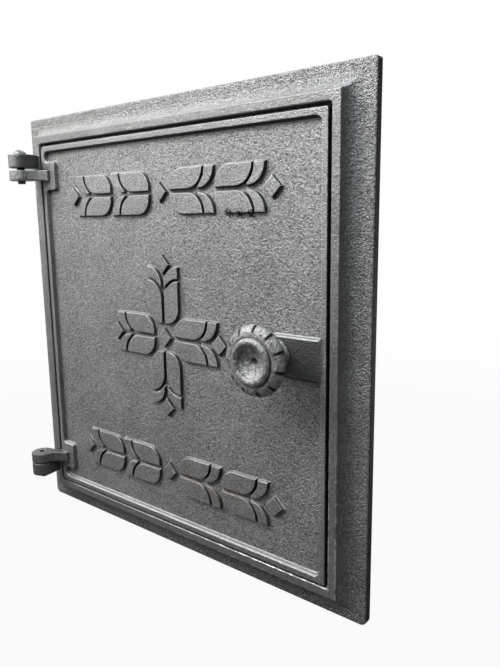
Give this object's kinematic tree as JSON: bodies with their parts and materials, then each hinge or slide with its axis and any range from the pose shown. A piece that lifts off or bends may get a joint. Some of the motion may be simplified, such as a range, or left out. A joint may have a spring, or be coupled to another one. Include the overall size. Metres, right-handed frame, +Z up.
{
  "type": "hinged flue door",
  "caption": "Square cast iron flue door: flanged frame with a coved lip, a leaf-ornamented door on side hinge lugs, a notched turn knob and a latch bar behind it.",
  "frame": {"origin": "centre of the frame on the flange's back face, where it meets the wall", "axes": "+Z up, +X to the right as seen from the front, -Y out of the wall towards the viewer, +Y into the masonry"},
  "size_m": [0.322, 0.0803, 0.33],
  "materials": {
    "frame_iron": "dark graphite grey, sand cast",
    "door_iron": "dark graphite grey, sand cast, relief and edges a little smoother",
    "pin_steel": "darkened steel",
    "knob_metal": "light grey cast metal, rubbed",
    "latch_steel": "plain steel",
    "latch_iron": "dark grey cast"
  },
  "bodies": {
    "frame_body": {"frame": "frame_iron", "upper_hinge_pin": "pin_steel", "lower_hinge_pin": "pin_steel"},
    "door_body": {"door": "door_iron"},
    "knob_body": {"knob": "knob_metal", "spindle": "latch_steel", "latch_bar": "latch_iron", "latch_washer": "latch_steel", "latch_nut": "latch_steel"}
  },
  "joints": [
    {"name": "door_swing", "type": "hinge", "parent": "frame_body", "child": "door_body", "pos_m": [-0.146, -0.026, 0], "axis": [0, 0, -1], "range_deg": [0, 165]},
    {"name": "knob_turn", "type": "hinge", "parent": "door_body", "child": "knob_body", "pos_m": [0.1, 0, -0.0006], "axis": [0, -1, 0], "range_deg": [0, 90]}
  ]
}
